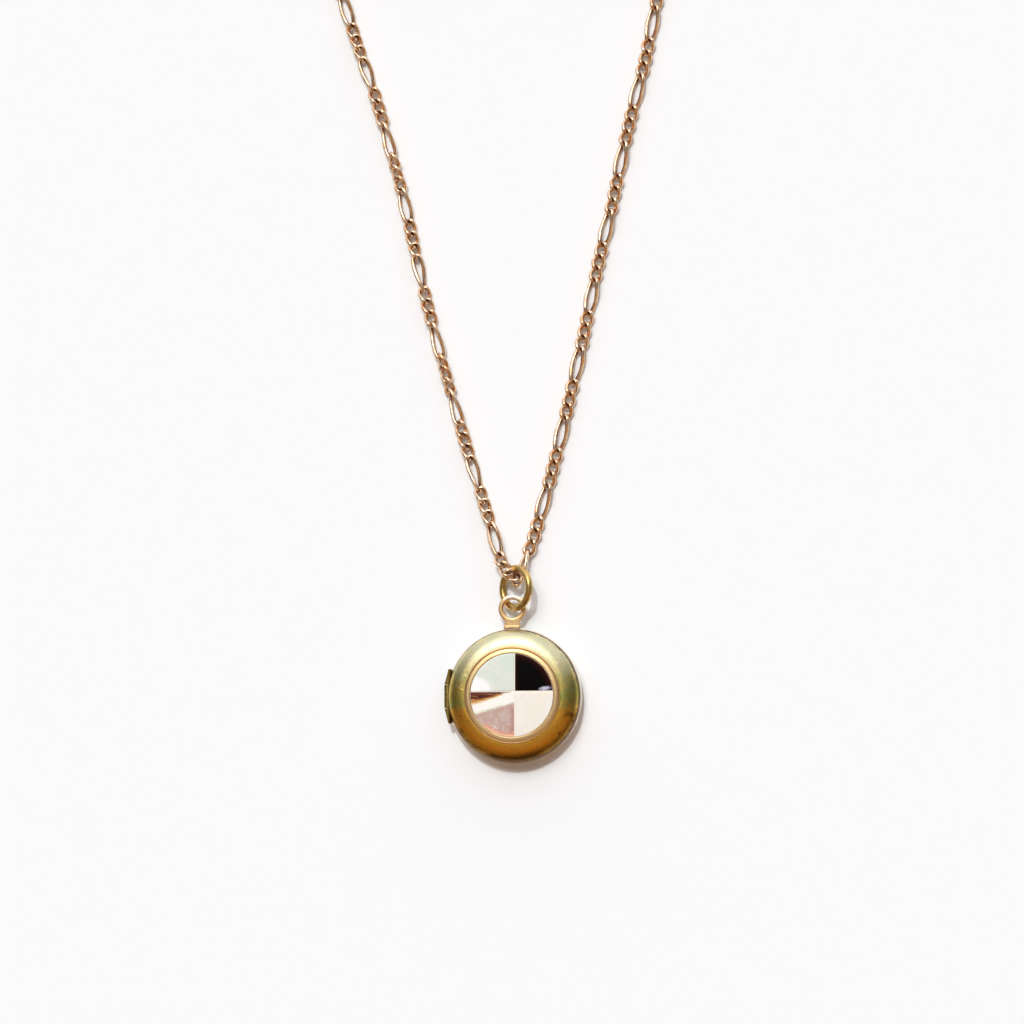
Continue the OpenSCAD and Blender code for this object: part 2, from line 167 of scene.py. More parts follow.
LEFT_ROUTE = np.concatenate([
    [(0.05, 17.2, 2.4), (-0.75, 17.4, 2.75), (-1.5, 18.1, 3.1), (-1.95, 19.1, 2.85),
     (-2.3, 20.5, 2), (-2.85, 22.4, 1.2)],
    on_table([-3.95, -4.9, -6.15, -7.4, -8.7, -10, -11.25, -12.45, -13.6, -14.65, -15.65, -16.6,
              -17.75, -19, -20.25, -21.6, -23.2, -24.7, -26.15, -27.45, -28.55],
             [*TABLE_Y, 113])])
RIGHT_ROUTE = np.concatenate([
    [(0.05, 17.2, 2.4), (0.85, 17.4, 2), (1.5, 18, 1.5), (1.85, 19, 1.15), (2.05, 20.5, 0.95)],
    on_table([2.4, 3.35, 4.2, 5.3, 6.35, 7.4, 8.45, 9.5, 10.45, 11.35, 12.3, 13.35, 14.45, 15.35,
              16.3, 17.35, 18.5, 19.65, 20.5, 21.4, 22.4, 23.3], [22.6, *TABLE_Y, 113.5])])


def smooth_through(points, steps=24):
    """A curve through every point: on each span a cubic whose slope at a point is half the step
    between that point's two neighbours."""
    padded = np.concatenate([2 * points[:1] - points[1:2], points, 2 * points[-1:] - points[-2:-1]])
    a, b, c, d = (padded[i:len(padded) - 3 + i, None] for i in range(4))
    t = np.linspace(0, 1, steps, endpoint=False)[None, :, None]
    curve = b + t * (c - a) / 2 + t**2 * (a - 2.5 * b + 2 * c - d / 2)
    curve = curve + t**3 * (1.5 * (b - c) + (d - a) / 2)
    return np.concatenate([curve.reshape(-1, 3), points[-1:]])


def wound(centre, start, turned, dip=1.85):
    """A flat spiral: its radius falls by one pitch a turn, and over the last 50 degrees it falls
    by dip more, with the square of the angle, to meet the ring that ends the chain."""
    t = np.linspace(0, abs(turned), 90)
    radius = COIL_R - COIL_PITCH * t / 360 - dip * np.clip((t - abs(turned) + 50) / 50, 0, 1) ** 2
    angle = np.radians(start + np.sign(turned) * t)
    height = np.full_like(t, CHAIN_D / 2)
    return np.stack([centre[0] + radius * np.cos(angle), centre[1] + radius * np.sin(angle),
                     height], 1)


def distances(curve):
    """How far along the curve each of its points is."""
    return np.concatenate([[0], np.cumsum(np.linalg.norm(np.diff(curve, axis=0), axis=1))])


LEFT_COIL, RIGHT_COIL = wound((-18.45, 120), 195, -765), wound((12.8, 120), -12, 732)

# %% [markdown]
# ## Links
# A link is a wire loop, so it is made as a loop of small rings: the loop is an oval, and the oval
# is twisted about the chain's own line as it goes from one end to the other. All links of a side
# are worked out together in one array, and become one mesh of many loops. A link this small
# needs only sixteen rings of five points to look round.

# %% Links along a line
SHORT_HALF, LONG_HALF, HALF_W, WIRE_R = 1.18, 2.8, 0.74, 0.32
HOOKED, LONG_SQUARE, SHORT_SQUARE = 0.56, 0.42, 0.48
TWIST = math.radians(50)


def pattern(first_centre, first_kind, length):
    """Centres and half lengths of links in figaro order, kind 0 being the long one and 1, 2, 3
    the short ones after it, until the line is full. Neighbours overlap by the wire's hook."""
    half = np.array([LONG_HALF, SHORT_HALF, SHORT_HALF, SHORT_HALF])
    kinds = (first_kind + np.arange(400)) % 4
    halves = half[kinds]
    centres = first_centre + np.concatenate([[0], np.cumsum(halves[:-1] + halves[1:] - HOOKED)])
    fits = centres + halves < length
    return centres[fits], halves[fits]


def links(line, centres, halves, roll, rings=16, sides=5):
    """Every link of one side. A ring's middle is (u, v) = (a cos t, b sin t) on an oval whose
    sine is squared off by a power below 1, turned by the twist times -u / a about the link's own
    length. The link lies on the chord of the line between its ends, and is rolled about it by
    roll. The table stops any point that would be below it. Also gives how much painted shade
    each point takes, on the inside of its link where shade falls: 0 on the back of the wire, 1
    on the inner side of the two bends."""
    along = distances(line)
    at = lambda s: np.stack([np.interp(s, along, line[:, k]) for k in range(3)], 1)
    near, away = at(centres - halves), at(centres + halves)
    forward = (away - near) / np.linalg.norm(away - near, axis=1, keepdims=True)
    up = np.array([0, 0, 1]) - forward[:, 2:] * forward
    up /= np.linalg.norm(up, axis=1, keepdims=True)
    side = np.cross(up, forward)
    t = (np.arange(rings) + 0.5) * TURN / rings
    u = halves[:, None] * np.cos(t)
    power = np.where(halves > SHORT_HALF, LONG_SQUARE, SHORT_SQUARE)[:, None]
    v = HALF_W * np.sign(np.sin(t)) * np.abs(np.sin(t)) ** power
    turn = roll[:, None] - TWIST * u / halves[:, None]
    middle = ((near + away) / 2)[:, None] + u[..., None] * forward[:, None]
    flat = np.cos(turn)[..., None] * side[:, None] + np.sin(turn)[..., None] * up[:, None]
    middle = middle + v[..., None] * flat
    wire = np.roll(middle, -1, 1) - np.roll(middle, 1, 1)
    wire /= np.linalg.norm(wire, axis=2, keepdims=True)
    across = np.cross(forward[:, None], flat)
    across -= (across * wire).sum(2, keepdims=True) * wire
    across /= np.linalg.norm(across, axis=2, keepdims=True)
    out = np.cross(wire, across)
    a = np.arange(sides) * TURN / sides
    ring = np.cos(a)[:, None] * out[:, :, None] + np.sin(a)[:, None] * across[:, :, None]
    points = (middle[:, :, None] + WIRE_R * ring) * MM
    points[..., 2] = np.maximum(points[..., 2], 0)
    one = grid_faces(rings, sides, True, True)
    faces = (one + (np.arange(len(centres)) * rings * sides)[:, None, None]).reshape(-1, 4)
    # Painted shade: darker on the inner side of the wire, most at the two bends.
    inward = np.clip(0.35 - np.cos(a), 0, 1)[None, None] * np.ones(points.shape[:3])
    painted_shade = inward * (0.35 + 0.65 * np.abs(np.cos(t)) ** 2)[None, :, None]
    return points.reshape(-1, 3), [faces], painted_shade.ravel()


def chain_side(name, line, first_centre, first_kind, roll_of, nodes):
    """One side of the chain, with its painted shade as an attribute of the mesh."""
    centres, halves = pattern(first_centre, first_kind, distances(line)[-1] - 0.2)
    points, faces, painted_shade = links(line, centres, halves, roll_of(centres))
    made = piece(name, [(points, faces)], "back", nodes)
    made.data.attributes.new("painted_shade", "FLOAT", "POINT").data.foreach_set("value", painted_shade)
    print(f"{name}: {len(centres)} links, the last ends at {centres[-1] + halves[-1]:.1f} mm")
    return made


# %% [markdown]
# ## Two strands that lie differently
# Every link of a chain on a table rocks a little. The left strand was also laid down twisted, so
# its long links are seen now flat and now on edge. The roll of each link about the chain is a
# function of its distance along the strand, and random numbers aren't needed.

# %% The two sides of the chain
FIRST_LINK_ENDS, FIRST_LINK_ROLL = 4, math.radians(-42)
ROLL, ROLL_LENGTH, ROLL_FROM, ROLL_TO = 40, 34, 8, 96


def rocking(s):
    """Two sines of different lengths, of 7 and 5 degrees, at the distance s."""
    return np.radians(7 * np.sin(1.7 * s) + 5 * np.sin(0.61 * s + 1))


def lies_flat(s):
    """Only the rocking. The long link that hangs in the jump ring is turned so that its lower end
    is flat and its upper end on edge."""
    return np.where(s < FIRST_LINK_ENDS, FIRST_LINK_ROLL, rocking(s))


def rolls_over(s):
    """The rocking and a slow sine of 40 degrees, as on a strand that was laid down twisted."""
    rolled = np.radians(ROLL * np.sin((s - ROLL_FROM) * TURN / ROLL_LENGTH))
    return rocking(s) + rolled * ((s > ROLL_FROM) & (s < ROLL_TO))


# The long link hangs lower than a limp cord would, and the short ones next to it cross above it.
left_links = np.concatenate([[(0.85, 17.4, 2.4), (-0.35, 17.6, 2.85), (-1.4, 18.3, 3.05),
                              (-1.95, 19.5, 2.6), (-2.3, 20.6, 1.95)], LEFT_ROUTE[5:]])
right_links = np.concatenate([[(0.1, 16.3, 2.34), (1.85, 21.4, 0.95)], RIGHT_ROUTE[5:]])
left_links = smooth_through(np.concatenate([left_links, LEFT_COIL]))
right_links = np.concatenate([np.linspace(right_links[0], right_links[1], 24)[:-1],
                              smooth_through(np.concatenate([right_links[1:], RIGHT_COIL]))])
left_chain = chain_side("left_chain", left_links, SHORT_HALF - 0.1, 1, rolls_over,
                        ["chain_left", "chain_left_coil"])
right_chain = chain_side("right_chain", right_links, LONG_HALF, 0, lies_flat,
                         ["chain_right", "chain_right_coil"])

# %% [markdown]
# ## The two shells
# Each half of the locket is stamped from thin brass sheet in a round die, so a section through
# it is the same all the way round. Turning a section about the middle gives the whole shell,
# inside and outside in one go. The section's true corners are eased by a few hundredths of a
# millimetre, because a stamped and tumbled edge is never sharp, and the thin bright line along
# each edge comes from that; along the rim that line is also a painted highlight, in its pale
# colour.

# %% Sections turned about the middle
def eased(corners, radius):
    """An outline whose corners with a radius are cut short by it and bridged by the curve
    (1 - t)^2 before + 2 t (1 - t) corner + t^2 after. A point beyond each end of the curve keeps
    the flats beside it flat. A corner whose radius is 0 stays, and of two points in one place
    only one does."""
    corners, radius = np.asarray(corners, float), np.asarray(radius, float)

    def towards(other, reach):
        step = other - corners
        length = np.linalg.norm(step, axis=1)
        return corners + step * (np.minimum(reach, 0.45 * length) / length)[:, None]

    before, after = np.roll(corners, 1, 0), np.roll(corners, -1, 0)
    t = np.array([0, 0.33, 0.67, 1])[:, None]
    p, q = towards(before, radius)[:, None], towards(after, radius)[:, None]
    curve = (1 - t) ** 2 * p + 2 * t * (1 - t) * corners[:, None] + t**2 * q
    hold = [towards(before, 1.4 * radius)[:, None], curve, towards(after, 1.4 * radius)[:, None]]
    full = np.concatenate(hold, 1)
    keep = (radius > 0)[:, None] | (np.arange(full.shape[1]) == 1)
    full = full[keep]
    return full[np.linalg.norm(full - np.roll(full, 1, 0), axis=1) > 1e-6]


def quarter(x, z, a, b, steps=20):
    """Points (x + a cos t, z + b sin t) of a quarter ellipse, from its wide end to its top."""
    t = np.linspace(0, TURN / 4, steps)
    return np.stack([x + a * np.cos(t), z + b * np.sin(t)], 1)


def turned(section, turns=240, closed=True):
    """The section's (r, z) points carried round the middle: x = r cos a, y = r sin a. The section
    runs outwards along the top and back along the bottom, so that faces point outwards."""
    a = np.linspace(0, TURN, turns, endpoint=False)
    r, z = section[:, :1], section[:, 1:]
    loops = np.stack([r * np.cos(a), r * np.sin(a), z + 0 * a], 2)
    return stacked(loops * MM, wrap=closed)


RIM_R, WALL_R, COVER_R, SHEET = 10, 9.4, 9.8, 0.45
RIM_Z, DOME_Z, DOME_H, SEAT_Z = 2.5, 2.8, 1.9, 4.7
CUP_Z, BACK_SHOULDER = 2.05, 3.2
DOME_W = 2.7
DOME_FOOT = COVER_R - DOME_W

outside = quarter(DOME_FOOT, DOME_Z, DOME_W, DOME_H)[::-1]
inside = quarter(DOME_FOOT, DOME_Z, WALL_R - DOME_FOOT, DOME_H - SHEET)
cover_section = np.concatenate([
    [(6.0, SEAT_Z)], outside, [(COVER_R, RIM_Z), (WALL_R, RIM_Z)], inside,
    [(6.0, SEAT_Z - SHEET)]])
cover_ease = np.zeros(len(cover_section))
cover_ease[len(outside) + 1:len(outside) + 3] = 0.07, 0.04
front_shell = piece("cover", [turned(eased(cover_section, cover_ease), closed=False)],
                    "front_cover", ["front_shell"])

shoulder = quarter(WALL_R - BACK_SHOULDER, 0, BACK_SHOULDER, CUP_Z)
hollow = quarter(WALL_R - BACK_SHOULDER, 0, BACK_SHOULDER - SHEET, CUP_Z - SHEET)
back_section = np.concatenate([
    [(4.0, SHEET)], hollow[::-1] * (1, -1) + (0, CUP_Z), shoulder * (1, -1) + (0, CUP_Z),
    [(4.0, 0)]])
back_shell = piece("back_cup", [turned(back_section, closed=False)], "back",
                   ["back_shell"], sharp=50)

RIM_SECTION = np.array([(8.95, 2.35), (9.0, 2.35), (9.0, 2.95), (9.25, 2.95), (9.33, 2.87),
                        (9.33, 2.45), (9.96, 2.45), (RIM_R, 2.4), (RIM_R, 2.17), (9.88, 2.05),
                        (8.95, 2.05)])
RIM_EASE = np.array([0, 0, 0.03, 0.03, 0.03, 0.03, 0.03, 0.03, 0.05, 0.05, 0])
back_rim = piece("rim", [turned(eased(RIM_SECTION, RIM_EASE))], "back",
                 ["back_rim"], sharp=50)

# %% [markdown]
# ## The hinge
# Three short tubes on a pin, the middle one soldered to the cover and the outer two to the back.
# Each is soldered into a groove filed across the rims, and their outsides are filed back to the
# locket's round outline, which is why they look like flat bars from the front. The grooves could
# be left out, since the tubes fill them, but the open locket shows them, so they are cut with
# the Boolean modifier, and the cutter is thrown away.

# %% Knuckles
HINGE_X, HINGE_Z, KNUCKLE_R, FILED_R = -9.85, 2.475, 0.65, 10.5
MIDDLE_HALF, KNUCKLE_GAP, HINGE_HALF = 1.7, 0.1, 4.0


def on_hinge(section, closed, filed=True):
    """A section of (distance from the hinge line, y), turned about the hinge line. Filing moves
    each point outside the cylinder of radius FILED_R round the locket back to it, along x."""
    points, faces = turned(np.asarray(section), turns=64, closed=closed)
    x, y, z = points.T
    points = np.stack([x + HINGE_X * MM, z, HINGE_Z * MM - y], 1)
    if filed:
        edge = -np.sqrt((FILED_R * MM) ** 2 - points[:, 1] ** 2)
        points[:, 0] = np.maximum(points[:, 0], edge)
    return points, faces


def end_knuckle(name, side, node):
    """An outer knuckle, closed at its outer end and bored for the pin from its inner end."""
    inner, outer, bored = MIDDLE_HALF + KNUCKLE_GAP, HINGE_HALF, 3.0
    section = np.array([(0.1, outer), (KNUCKLE_R, outer), (KNUCKLE_R, inner), (0.2, inner),
                        (0.2, bored), (0.1, bored)])
    section = eased(section, [0, 0.07, 0.05, 0, 0, 0])
    if side < 0:
        section = section[::-1] * (1, -1)
    return piece(name, [on_hinge(section, False)], "back", [node], sharp=40)


end_knuckle("upper_knuckle", 1, "hinge_knuckle_upper")
end_knuckle("lower_knuckle", -1, "hinge_knuckle_lower")
tube = [(0.23, MIDDLE_HALF), (KNUCKLE_R, MIDDLE_HALF), (KNUCKLE_R, -MIDDLE_HALF),
        (0.23, -MIDDLE_HALF)]
piece("middle_knuckle", [on_hinge(eased(tube, [0, 0.05, 0.05, 0]), True)], "front_cover",
      ["hinge_knuckle_center"], sharp=40)


# %% Grooves for the knuckles, and the thumbnail notch
def carve(target, *cutters):
    """Takes the cutters' shapes out of the target's mesh for good."""
    for part in cutters:
        cutter = piece("cutter", [part], None)
        boolean = target.modifiers.new("carve", "BOOLEAN")
        boolean.operation, boolean.solver, boolean.object = "DIFFERENCE", "EXACT", cutter
        bpy.context.view_layer.update()
        carved = bpy.data.meshes.new_from_object(
            target.evaluated_get(bpy.context.evaluated_depsgraph_get()))
        target.modifiers.clear()
        old, target.data = target.data, carved
        bpy.data.meshes.remove(old)
        bpy.data.objects.remove(cutter)
    target.data.name = target.name
    target.data.polygons.foreach_set("use_smooth", np.ones(len(target.data.polygons), bool))
    target.data.set_sharp_from_angle(angle=math.radians(35))
    print(target.name, "carved:", len(target.data.polygons), "faces")


def groove(middle_r, end_r, middle_half):
    """A stepped bar on the hinge line: middle_r for the middle knuckle, end_r for the others."""
    end = HINGE_HALF + 0.02
    return on_hinge([(0.1, end), (end_r, end), (end_r, middle_half), (middle_r, middle_half),
                     (middle_r, -middle_half), (end_r, -middle_half), (end_r, -end),
                     (0.1, -end)], False, filed=False)


TIGHT, FREE = KNUCKLE_R + 0.01, KNUCKLE_R + 0.08
notch_angle, NOTCH_IN, NOTCH_OUT, NOTCH_HALF = math.radians(-9), 9.45, 11.4, 0.45
notch = eased([(NOTCH_IN, -NOTCH_HALF), (NOTCH_OUT, -NOTCH_HALF), (NOTCH_OUT, NOTCH_HALF),
               (NOTCH_IN, NOTCH_HALF)], [0.2, 0, 0, 0.2])
spin = np.array([(math.cos(notch_angle), -math.sin(notch_angle)),
                 (math.sin(notch_angle), math.cos(notch_angle))])
notch = notch @ spin.T
notch_loops = np.stack([np.column_stack([notch, np.full(len(notch), z)])
                        for z in (DOME_Z, 1.5)]) * MM
carve(front_shell, groove(TIGHT, FREE, MIDDLE_HALF), stacked(notch_loops))
carve(back_shell, groove(FREE, TIGHT, MIDDLE_HALF + KNUCKLE_GAP))
carve(back_rim, groove(FREE, TIGHT, MIDDLE_HALF + KNUCKLE_GAP))

# %% [markdown]
# ## The setting and the inlay
# The setting is a turned brass ring with a small bead round its foot, a groove, and a lip that
# stands round the inlay. The inlay is four thin quarters, of pearl, onyx, iridescent shell and
# cream shell, cemented on a bed whose raised cross shows between them as a pale line. Each
# quarter is cut as one outline and ground to a very slight dome together with its neighbours, so
# its top is the same bowl-shaped function of x and y for all four.

# %% Setting
BEAD_R, BEZEL_IN, BEZEL_OUT, BEZEL_H = 0.1, 6.15, 7.1, 0.55
bead_angle = np.linspace(math.pi, 0, 12)
bead = np.stack([BEZEL_OUT - BEAD_R + BEAD_R * np.cos(bead_angle),
                 0.35 * BEZEL_H + BEAD_R * np.sin(bead_angle)], 1)
setting_section = np.concatenate([
    [(BEZEL_IN, 0.45), (BEZEL_IN + 0.08, BEZEL_H), (BEZEL_IN + 0.6, 0.93 * BEZEL_H),
     (BEZEL_OUT - 2 * BEAD_R - 0.03, 0.55 * BEZEL_H), (BEZEL_OUT - 2 * BEAD_R, 0.35 * BEZEL_H)],
    bead[1:], [(BEZEL_OUT, 0), (BEZEL_IN, 0)]])
setting_ease = np.zeros(len(setting_section))
setting_ease[:4] = 0.04, 0.05, 0.12, 0.03
piece("setting", [turned(eased(setting_section, setting_ease) + (0, SEAT_Z))], "front_cover",
      ["stone_bezel"], sharp=60)

# %% Inlay quarters
CROSSING = np.array([0.45, 0.55])
HALF_SEAM, INLAY_R, BED_Z, INLAY_EDGE_Z, CROWN = 0.07, 6.1, 4.9, 5.2, 0.15


def quarter_outline(sx, sy, steps=40):
    """The outline of the quarter towards (sx, sy): from its inner corner along one seam, round
    the arc, and back along the other seam, counter-clockwise."""
    corner = CROSSING + HALF_SEAM * np.array([sx, sy])
    a = math.atan2(corner[1], sx * math.sqrt(INLAY_R**2 - corner[1]**2))
    b = math.atan2(sy * math.sqrt(INLAY_R**2 - corner[0]**2), corner[0])
    b = a + (b - a + math.pi) % TURN - math.pi
    angles = np.linspace(min(a, b), max(a, b), 2 * steps)
    arc = INLAY_R * np.stack([np.cos(angles), np.sin(angles)], 1)
    t = np.linspace(0, 1, steps, endpoint=False)[:, None]
    there = corner + t * (arc[0] - corner)
    back = arc[-1] + t[1:] * (corner - arc[-1])
    return np.concatenate([there, arc, back])


def inlay_quarter(name, sx, sy, node):
    """Loops heart + s (outline - heart) for growing s, at height edge + crown (1 - r^2 / R^2) on
    the top, then straight down the sides. The last two steps of the top are the ground edge."""
    outline = quarter_outline(sx, sy)
    heart = outline.mean(0)
    s = np.array([0.08, 0.25, 0.5, 0.75, 0.9, 0.965, 0.985, 0.995, 1, 1, 1, 0.5])
    drop = np.array([0, 0, 0, 0, 0, 0, 0.004, 0.014, 0.03, 0.06, 1, 1])
    flat = heart + s[:, None, None] * (outline - heart)
    top = INLAY_EDGE_Z + CROWN * (1 - (flat**2).sum(2) / INLAY_R**2)
    z = np.where(drop[:, None] < 1, top - drop[:, None], BED_Z)
    return piece(name, [stacked(np.concatenate([flat, z[..., None]], 2) * MM)], "front_cover",
                 [node], sharp=50)


inlay_quarter("pearl_quarter", -1, 1, "inlay_pearl_top_left")
inlay_quarter("onyx_quarter", 1, 1, "inlay_onyx_top_right")
inlay_quarter("shell_quarter", -1, -1, "inlay_shell_bottom_left")
inlay_quarter("cream_quarter", 1, -1, "inlay_cream_bottom_right")

# %% [markdown]
# ## Eye, jump ring and photo frames
# The eye is a flat stamped tag whose neck is soldered to the rim, with a small raised step where
# it is folded against the locket. Its edge is one curve round the hole: a circle that swells
# into the neck. The jump ring is a ring of round wire, sawn through so that it can be opened,
# and it leans through the eye at an angle. The two photo frames are thin rings that only the
# open locket shows.

# %% Eye
EYE_AT, EYE_R, EYE_HOLE_R, NECK_HALF = np.array([-0.35, 12.86]), 2.05, 1.35, 1.1
EYE_Z, EYE_T, SWELL, CLEAR = 1.95, 0.5, 12, 0.01
around = np.linspace(0, TURN, 360, endpoint=False)
ray = np.stack([np.cos(around), np.sin(around)], 1)
slope = ray @ EYE_AT
depth = slope**2 - EYE_AT @ EYE_AT + (RIM_R + CLEAR) ** 2
to_rim = np.where((depth > 0) & (slope < 0), -slope - np.sqrt(np.maximum(depth, 0)), 1e3)
to_neck_side = NECK_HALF / np.maximum(np.abs(ray[:, 0]), 1e-6)
neck = np.where(ray[:, 1] < 0, np.minimum(to_rim, to_neck_side), 0)
eye_edge = (EYE_R**SWELL + neck**SWELL) ** (1 / SWELL)
eye_edge = np.minimum(eye_edge, to_rim)
print(f"eye edge from {eye_edge.min():.2f} to {eye_edge.max():.2f} mm from its middle")
tag = eased([(0, EYE_T), (1, EYE_T), (1, 0), (0, 0)], [0.2, 0.2, 0.07, 0.05])
reach = np.where(tag[:, :1] < 0.5, EYE_HOLE_R + tag[:, :1], eye_edge - 1 + tag[:, :1])
eye_loops = np.stack([EYE_AT[0] + reach * ray[:, 0], EYE_AT[1] + reach * ray[:, 1],
                      EYE_Z + tag[:, 1:] + 0 * reach], 2) * MM

# %% The folded step at its foot
STEP_LEFT, STEP_RIGHT, STEP_TOP, STEP_H = -1.55, 0.85, 10.35, 0.75
step_x = np.linspace(STEP_LEFT, STEP_RIGHT, 17)
step_back = np.stack([step_x, np.sqrt((RIM_R + CLEAR) ** 2 - step_x**2)], 1)
step_outline = np.concatenate([step_back, [(STEP_RIGHT, STEP_TOP), (STEP_LEFT, STEP_TOP)]])[::-1]
step_ease = np.zeros(len(step_outline))
step_ease[:2] = 0.12
step_outline = eased(step_outline, step_ease)
if np.cross(step_outline[:-1], step_outline[1:]).sum() < 0:
    step_outline = step_outline[::-1]
step_middle = step_outline.mean(0)
step_s = np.array([0.6, 0.9, 0.95, 0.99, 1, 1, 0.97, 0.6])
step_z = EYE_Z + np.array([STEP_H, STEP_H, STEP_H - 0.01, STEP_H - 0.04, STEP_H - 0.09,
                           0.04, 0, 0])
step_loops = np.concatenate([
    step_middle + step_s[:, None, None] * (step_outline - step_middle),
    np.broadcast_to(step_z[:, None, None], (len(step_z), len(step_outline), 1))], 2) * MM
piece("eye", [stacked(eye_loops, wrap=True), stacked(step_loops)], "back",
      ["eye_tab"], sharp=50)

# %% Jump ring
RING_AT, RING_R, RING_WIRE_R = np.array([0.25, 15.87, 2.6]), 2.9, 0.53
RING_LEAN, RING_TURN, RING_CUT = math.radians(-40), math.radians(-20), 0.05
bend = math.radians(-36) + np.linspace(0, TURN - RING_CUT / RING_R, 160)
section_angle = np.linspace(0, TURN, 32, endpoint=False)
ease = np.array([0.9, 0.97] + [1] * 156 + [0.97, 0.9])[:, None] * RING_WIRE_R
ring_r = RING_R + ease * np.cos(section_angle)
x, y, z = (ring_r * np.cos(bend[:, None]), ring_r * np.sin(bend[:, None]),
           ease * np.sin(section_angle) + 0 * ring_r)
x, y = (x * math.cos(RING_TURN) - y * math.sin(RING_TURN),
        x * math.sin(RING_TURN) + y * math.cos(RING_TURN))
x, z = (x * math.cos(RING_LEAN) + z * math.sin(RING_LEAN),
        z * math.cos(RING_LEAN) - x * math.sin(RING_LEAN))
piece("jump_ring_wire", [stacked((np.stack([x, y, z], 2) + RING_AT) * MM)], "jump_ring",
      ["jump_ring"], sharp=50)

# %% Photo frames
back_frame = eased([(7.77, 2.65), (8.97, 2.65), (8.97, 2.35), (8.92, 2.35), (8.92, 2.0),
                    (8.62, 2.0), (8.62, 2.35), (7.77, 2.35)],
                   [0.08, 0.06, 0, 0, 0, 0, 0, 0.03])
front_frame = eased([(8.03, 3.3), (9.23, 3.3), (9.34, 3.0), (8.03, 3.0)],
                    [0.08, 0.03, 0.03, 0.08])
piece("photo_frame_back", [turned(back_frame)], "back", ["back_photo_frame"],
      sharp=50)
piece("photo_frame_front", [turned(front_frame)], "front_cover",
      ["front_photo_frame"], sharp=50)

# %% [markdown]
# ## Sums on sockets
# A finish is a network of nodes, and most of its nodes are sums: a mask times a strength, one
# less a mask. Written out node by node they hide what the finish is, so a socket is wrapped in a
# small class whose operators add Math nodes. Every other node comes from one method. Colours are
# written as the codes that a screen takes, and turned into a shader's numbers where they are used.

# %% A colour, and sums on sockets
def shade(code):
    """A screen colour such as c8a050 as the linear numbers that a shader takes."""
    c = np.array([int(code[i:i + 2], 16) for i in (0, 2, 4)]) / 255
    return (*np.where(c <= 0.04045, c / 12.92, ((c + 0.055) / 1.055) ** 2.4).tolist(), 1.0)


class Sum:
    """A number's socket. Adding, taking away, multiplying or dividing adds a Math node."""

    def __init__(self, finish, socket):
        self.finish, self.socket = finish, socket

    def maths(self, operation, first, second=0.0):
        return self.finish.node("Math", {"operation": operation}, {0: first, 1: second})

    def __add__(self, other): return self.maths("ADD", self, other)
    def __sub__(self, other): return self.maths("SUBTRACT", self, other)
    def __mul__(self, other): return self.maths("MULTIPLY", self, other)
    def __truediv__(self, other): return self.maths("DIVIDE", self, other)
    def __rsub__(self, other): return self.maths("SUBTRACT", other, self)
    __radd__, __rmul__ = __add__, __mul__

    def __pow__(self, other): return self.maths("POWER", self, other)
    def __abs__(self): return self.maths("ABSOLUTE", self)


# %% Finishes from nodes
class Finish:
    """The nodes of one material, or of the world."""

    def __init__(self, tree):
        self.tree = tree
        tree.nodes.clear()

    def node(self, kind, settings={}, inputs={}, out=0):
        """Adds a node: its settings first, then a value or a link for each named input."""
        made = self.tree.nodes.new("ShaderNode" + kind)
        for name, value in settings.items():
            setattr(made, name, value)
        for name, value in inputs.items():
            if isinstance(value, Sum):
                self.tree.links.new(value.socket, made.inputs[name])
            else:
                made.inputs[name].default_value = value
        return Sum(self, made.outputs[out]) if made.outputs else None

    def millimetres(self):
        """Object coordinates in millimetres."""
        place = self.node("TexCoord", out="Object")
        return self.node("VectorMath", {"operation": "SCALE"}, {0: place, "Scale": 1 / MM})

    def parts(self, vector):
        """The three numbers of a vector."""
        split = self.node("SeparateXYZ", {}, {0: vector})
        return [Sum(self, output) for output in split.socket.node.outputs]

    def from_middle(self, x, y):
        """The distance from the locket's axis."""
        return (x * x + y * y) ** 0.5

    def larger(self, first, second):
        return self.node("Math", {"operation": "MAXIMUM"}, {0: first, 1: second})

    def stretched(self, vector, amounts):
        return self.node("VectorMath", {"operation": "MULTIPLY"}, {0: vector, 1: amounts})

    def noise(self, vector, scale, detail=3.0, roughness=0.5, distortion=0.0):
        return self.node("TexNoise", {}, {"Vector": vector, "Scale": scale, "Detail": detail,
                                          "Roughness": roughness, "Distortion": distortion})

    def between(self, value, low, high):
        """0 below low, 1 above high, and a smooth step between them."""
        return self.node("MapRange", {"interpolation_type": "SMOOTHSTEP"},
                         {0: value, 1: low, 2: high})

    def blend(self, mask, below, above):
        """The colour below where the mask is 0, above where it is 1. Either may be a code."""
        below, above = (shade(c) if isinstance(c, str) else c for c in (below, above))
        return self.node("Mix", {"data_type": "RGBA"}, {0: mask, 6: below, 7: above}, out=2)

    def painted(self, colour, roughness, height, deep):
        """What a finish comes to: its colour, its roughness, and a bump of the height, in which
        1 is deep mm."""
        bump = self.node("Bump", {}, {"Height": height, "Distance": deep * MM})
        return {"Base_Color": colour, "Roughness": roughness, "Normal": bump}


# %% A material, and putting it on a piece
def surface(name, paint, **fixed):
    """A material whose shader takes fixed numbers, and whatever paint(finish) returns."""
    material = bpy.data.materials.new(name)
    material.use_nodes = True
    finish = Finish(material.node_tree)
    varying = paint(finish)
    values = {key.replace("_", " "): value for key, value in {**fixed, **varying}.items()}
    shader = finish.node("BsdfPrincipled", {}, values)
    finish.node("OutputMaterial", {}, {"Surface": shader})
    print(name, len(material.node_tree.nodes), "nodes")
    return material


def wear(target, material):
    """Puts the material in every slot of the target."""
    target.data.materials.clear()
    target.data.materials.append(material)
